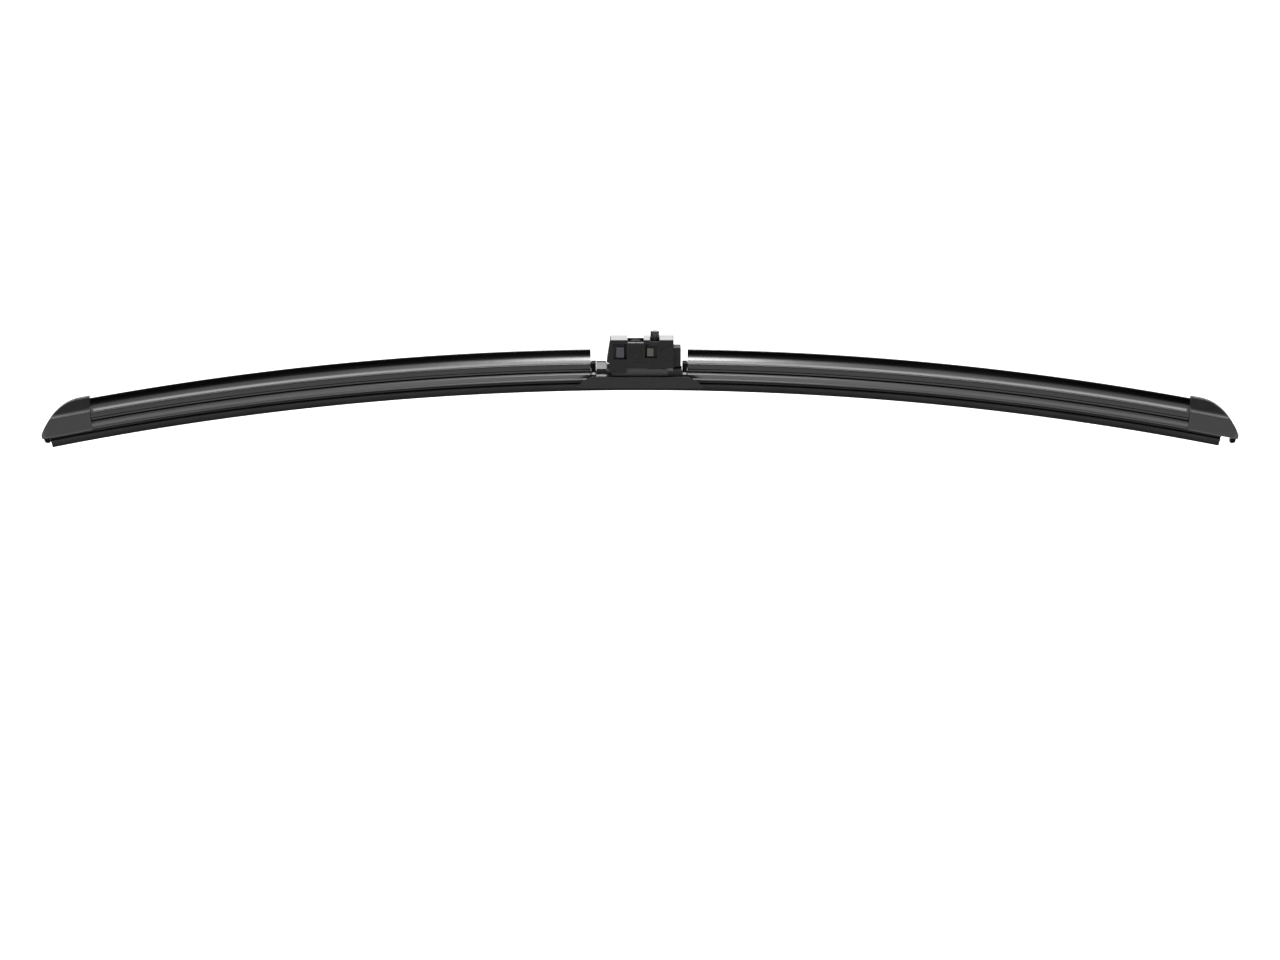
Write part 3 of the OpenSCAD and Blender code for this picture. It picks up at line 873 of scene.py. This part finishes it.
def make_button(material, tip):
    profile = [(3.2, 25.4), (3.4, 25.46), (3.5, 25.65), (3.5, 26.75), (3.44, 26.93), (3.3, 27.0),
               (2.75, 27.0), (2.67, 27.03), (2.65, 27.1), (2.65, 28.85), (2.6, 28.96),
               (2.5, 29.0), (2.47, 29.02), (2.45, 29.1), (2.45, 32.1), (2.4, 32.3),
               (2.28, 32.5), (2.12, 32.64), (1.95, 32.7), (1.9, 32.7), (0.9, 32.7), (0.85, 32.68),
               (0.8, 32.62), (0.7, 32.58), (0.2, 32.57)]
    piece = lathed("button", profile, (BUTTON_X, 0, 0))
    dress(piece, material, "button", "adapter_plastic", "push_button")
    # The tip gets the lighter top plastic: a painted highlight.
    tip_z = row_point(0, 0, BUTTON_RIM).z
    repaint(piece, tip, lambda face: face.center.z > tip_z)


def make_pin(material):
    half = [(2.25, 5.1), (1.75, 5.1), (1.75, 6.1), (2.9, 6.1), (2.9, 6.35), (2.82, 6.6),
            (2.6, 6.8), (2.2, 6.88), (1.5, 6.9), (1.2, 6.86), (1.0, 6.7), (0.3, 6.66)]
    profile = [(r, -y) for r, y in reversed(half)] + half
    piece = lathed("rivet", profile, PIVOT, "Y", 48)
    dress(piece, material, "blade", "pin_steel", "pivot_pin")


WIRE = 0.3                    # radius of the spring's wire
COIL = 2.9                    # radius of the coil, to the middle of the wire
TURNS = 7.5
COIL_SPAN = (16.27, 25.33)    # heights of the spring's ends


def coil_height(turn):
    """Height of the wire after some turns: the first and last turns lie flat."""
    low, high = COIL_SPAN
    middle = min(max((turn - 1) / (TURNS - 2), 0), 1)
    closed = 2 * WIRE * min(turn, 1) + 2 * WIRE * max(turn - TURNS + 1, 0)
    return low + WIRE + closed + (high - low - 6 * WIRE) * middle


def make_spring(material):
    """A coil spring with closed end turns, between fixed heights under the button."""
    around = 36
    sides = 14
    rings = int(TURNS * around) + 1
    points = []
    for i in range(rings):
        a = 2 * math.pi * i / around
        for k in range(sides):
            b = 2 * math.pi * k / sides
            r = COIL + WIRE * math.cos(b)
            z = coil_height(i / around) + WIRE * math.sin(b)
            points.append(row_point(BUTTON_X + r * math.cos(a), r * math.sin(a), z))
    piece = new_piece("return_spring", points, tube_faces(rings, sides))
    dress(piece, material, "adapter", "pin_steel", "button_spring")
    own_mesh(piece)


def make_housing(look):
    housing = softened("housing", "arm_adapter", 0.14)
    dress(housing, look["housing"], "adapter", "adapter_plastic", "arm_adapter")
    roof_z = row_point(0, 0, SEAT_H - 2).z
    # Upward faces of the roof get a lighter, glossier plastic: a painted sheen where the overhead
    # light falls.
    repaint(housing, look["roof"], lambda face: face.normal.z > 0.9 and face.center.z > roof_z)


def make_insert(look):
    """The joint block. Its two lugs have tones of their own; its crown, in the housing's slot, is
    painted near-black as shade.
    """
    insert = softened("insert", "joint_block", 0.2)
    dress(insert, look["housing"], "adapter", "insert_plastic", "joint_block")
    pivot_x = row_point(*PIVOT).x
    lug_y = LUG_Y * MM
    repaint(insert, look["left lug"],
            lambda face: abs(face.center.y) > lug_y and face.center.x < pivot_x)
    repaint(insert, look["right lug"],
            lambda face: abs(face.center.y) > lug_y and face.center.x > pivot_x)
    # The crown gets the near-black, barely reflective moulding: painted shade in the slot.
    crown_z = row_point(0, 0, CROWN_H).z
    repaint(insert, look["foot"], lambda face: face.center.z > crown_z)


def make_shell(look):
    """The low shell, with its left deck's slopes smoother than the rest and painted lighter: a
    painted sheen.
    """
    shell = softened("shell", "base_shell", 0.2)
    dress(shell, look["shell"], "blade", "shell_plastic", "base_shell")
    deck_x = row_point(DECK_X, 0, 0).x
    deck_z = row_point(0, 0, DECK_H).z
    # Sloping faces of the left deck get a lighter, smoother plastic: a painted sheen.
    repaint(shell, look["slope"], lambda face: face.center.x < deck_x
            and face.center.z > deck_z and 0.3 < face.normal.z < 0.95)


def make_carrier(look):
    carrier = softened("carrier", "rail_saddle", 0.18)
    dress(carrier, look["coated"], "blade", "coated_metal", "rail_saddle")


def dress_frame_node(node, material):
    """A CAD node that keeps its shape gets a better material."""
    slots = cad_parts[node].data.materials
    slots.clear()
    slots.append(material)


def finishes():
    """Every material, by the part of the blade that shows it."""
    return {
        "rubber": wiping_rubber(),
        "gloss": streaked_gloss("satin extrusion", (0.0006,) * 3, (0.002,) * 3, 0.20, 0.45),
        # a lighter, more reflective copy of the fin's gloss: a painted sheen on the claws and the
        # plugs' collars
        "base": streaked_gloss("hard base", (0.003,) * 3, (0.007,) * 3, 0.30, 0.85),
        "cap": moulded("moulded cap", (0.009,) * 3, (0.018,) * 3, 0.40),
        # near-black and barely reflective: painted shade under the caps, on the plugs' blocks and
        # on the joint block's crown
        "foot": moulded("painted shade moulding", (0.002,) * 3, (0.005,) * 3, 0.5, 0.05, wear=0.2),
        "housing": moulded("housing plastic", (0.003,) * 3, (0.019,) * 3, 0.40, 0.2, wear=0.6),
        # lighter than the housing: a painted sheen on upward faces
        "roof": polished("top plastic with painted sheen", (0.03,) * 3, (0.05,) * 3, 0.16),
        "insert": moulded("insert plastic", (0.060, 0.060, 0.055), (0.085, 0.085, 0.078), 0.42),
        "left lug": moulded("grey lug", (0.045, 0.045, 0.055), (0.065, 0.065, 0.078), 0.42, 0.3),
        "right lug": moulded("olive lug", (0.070, 0.070, 0.058), (0.095, 0.095, 0.080), 0.42, 0.3),
        "shell": moulded("shell plastic", (0.004,) * 3, (0.020,) * 3, 0.46, 0.3),
        # lighter than the shell: a painted sheen on the left deck's slopes
        "slope": polished("deck plastic with painted sheen", (0.03,) * 3, (0.05,) * 3, 0.34, 0.4),
        "button": moulded("button plastic", (0.010,) * 3, (0.018,) * 3, 0.22, wear=0.4),
        "coated": coated_steel(),
        "rolled": spring_steel("rolled steel", "Object", (30, 2500, 2500)),
        "turned": spring_steel("turned steel", "Object", (1500, 200, 1500), 0.6),
    }


def build():
    make_camera()
    make_floor()
    make_lights()
    look = finishes()
    make_rubber(look["rubber"])
    for side, sign in (("left", -1), ("right", 1)):
        make_spoiler(side, sign, look["gloss"], look["base"])
        make_plug(side, sign, look["base"], look["foot"])
        make_cap(side, sign, look["cap"], look["foot"])
        dress_frame_node("rail_clip_" + side, look["rolled"])
    for side in ("front", "rear"):
        dress_frame_node("spring_rail_" + side, look["rolled"])
        dress_frame_node("pivot_bush_" + side, look["insert"])
    make_housing(look)
    make_insert(look)
    make_shell(look)
    make_carrier(look)
    make_button(look["button"], look["roof"])
    make_pin(look["turned"])
    make_spring(look["turned"])


build()
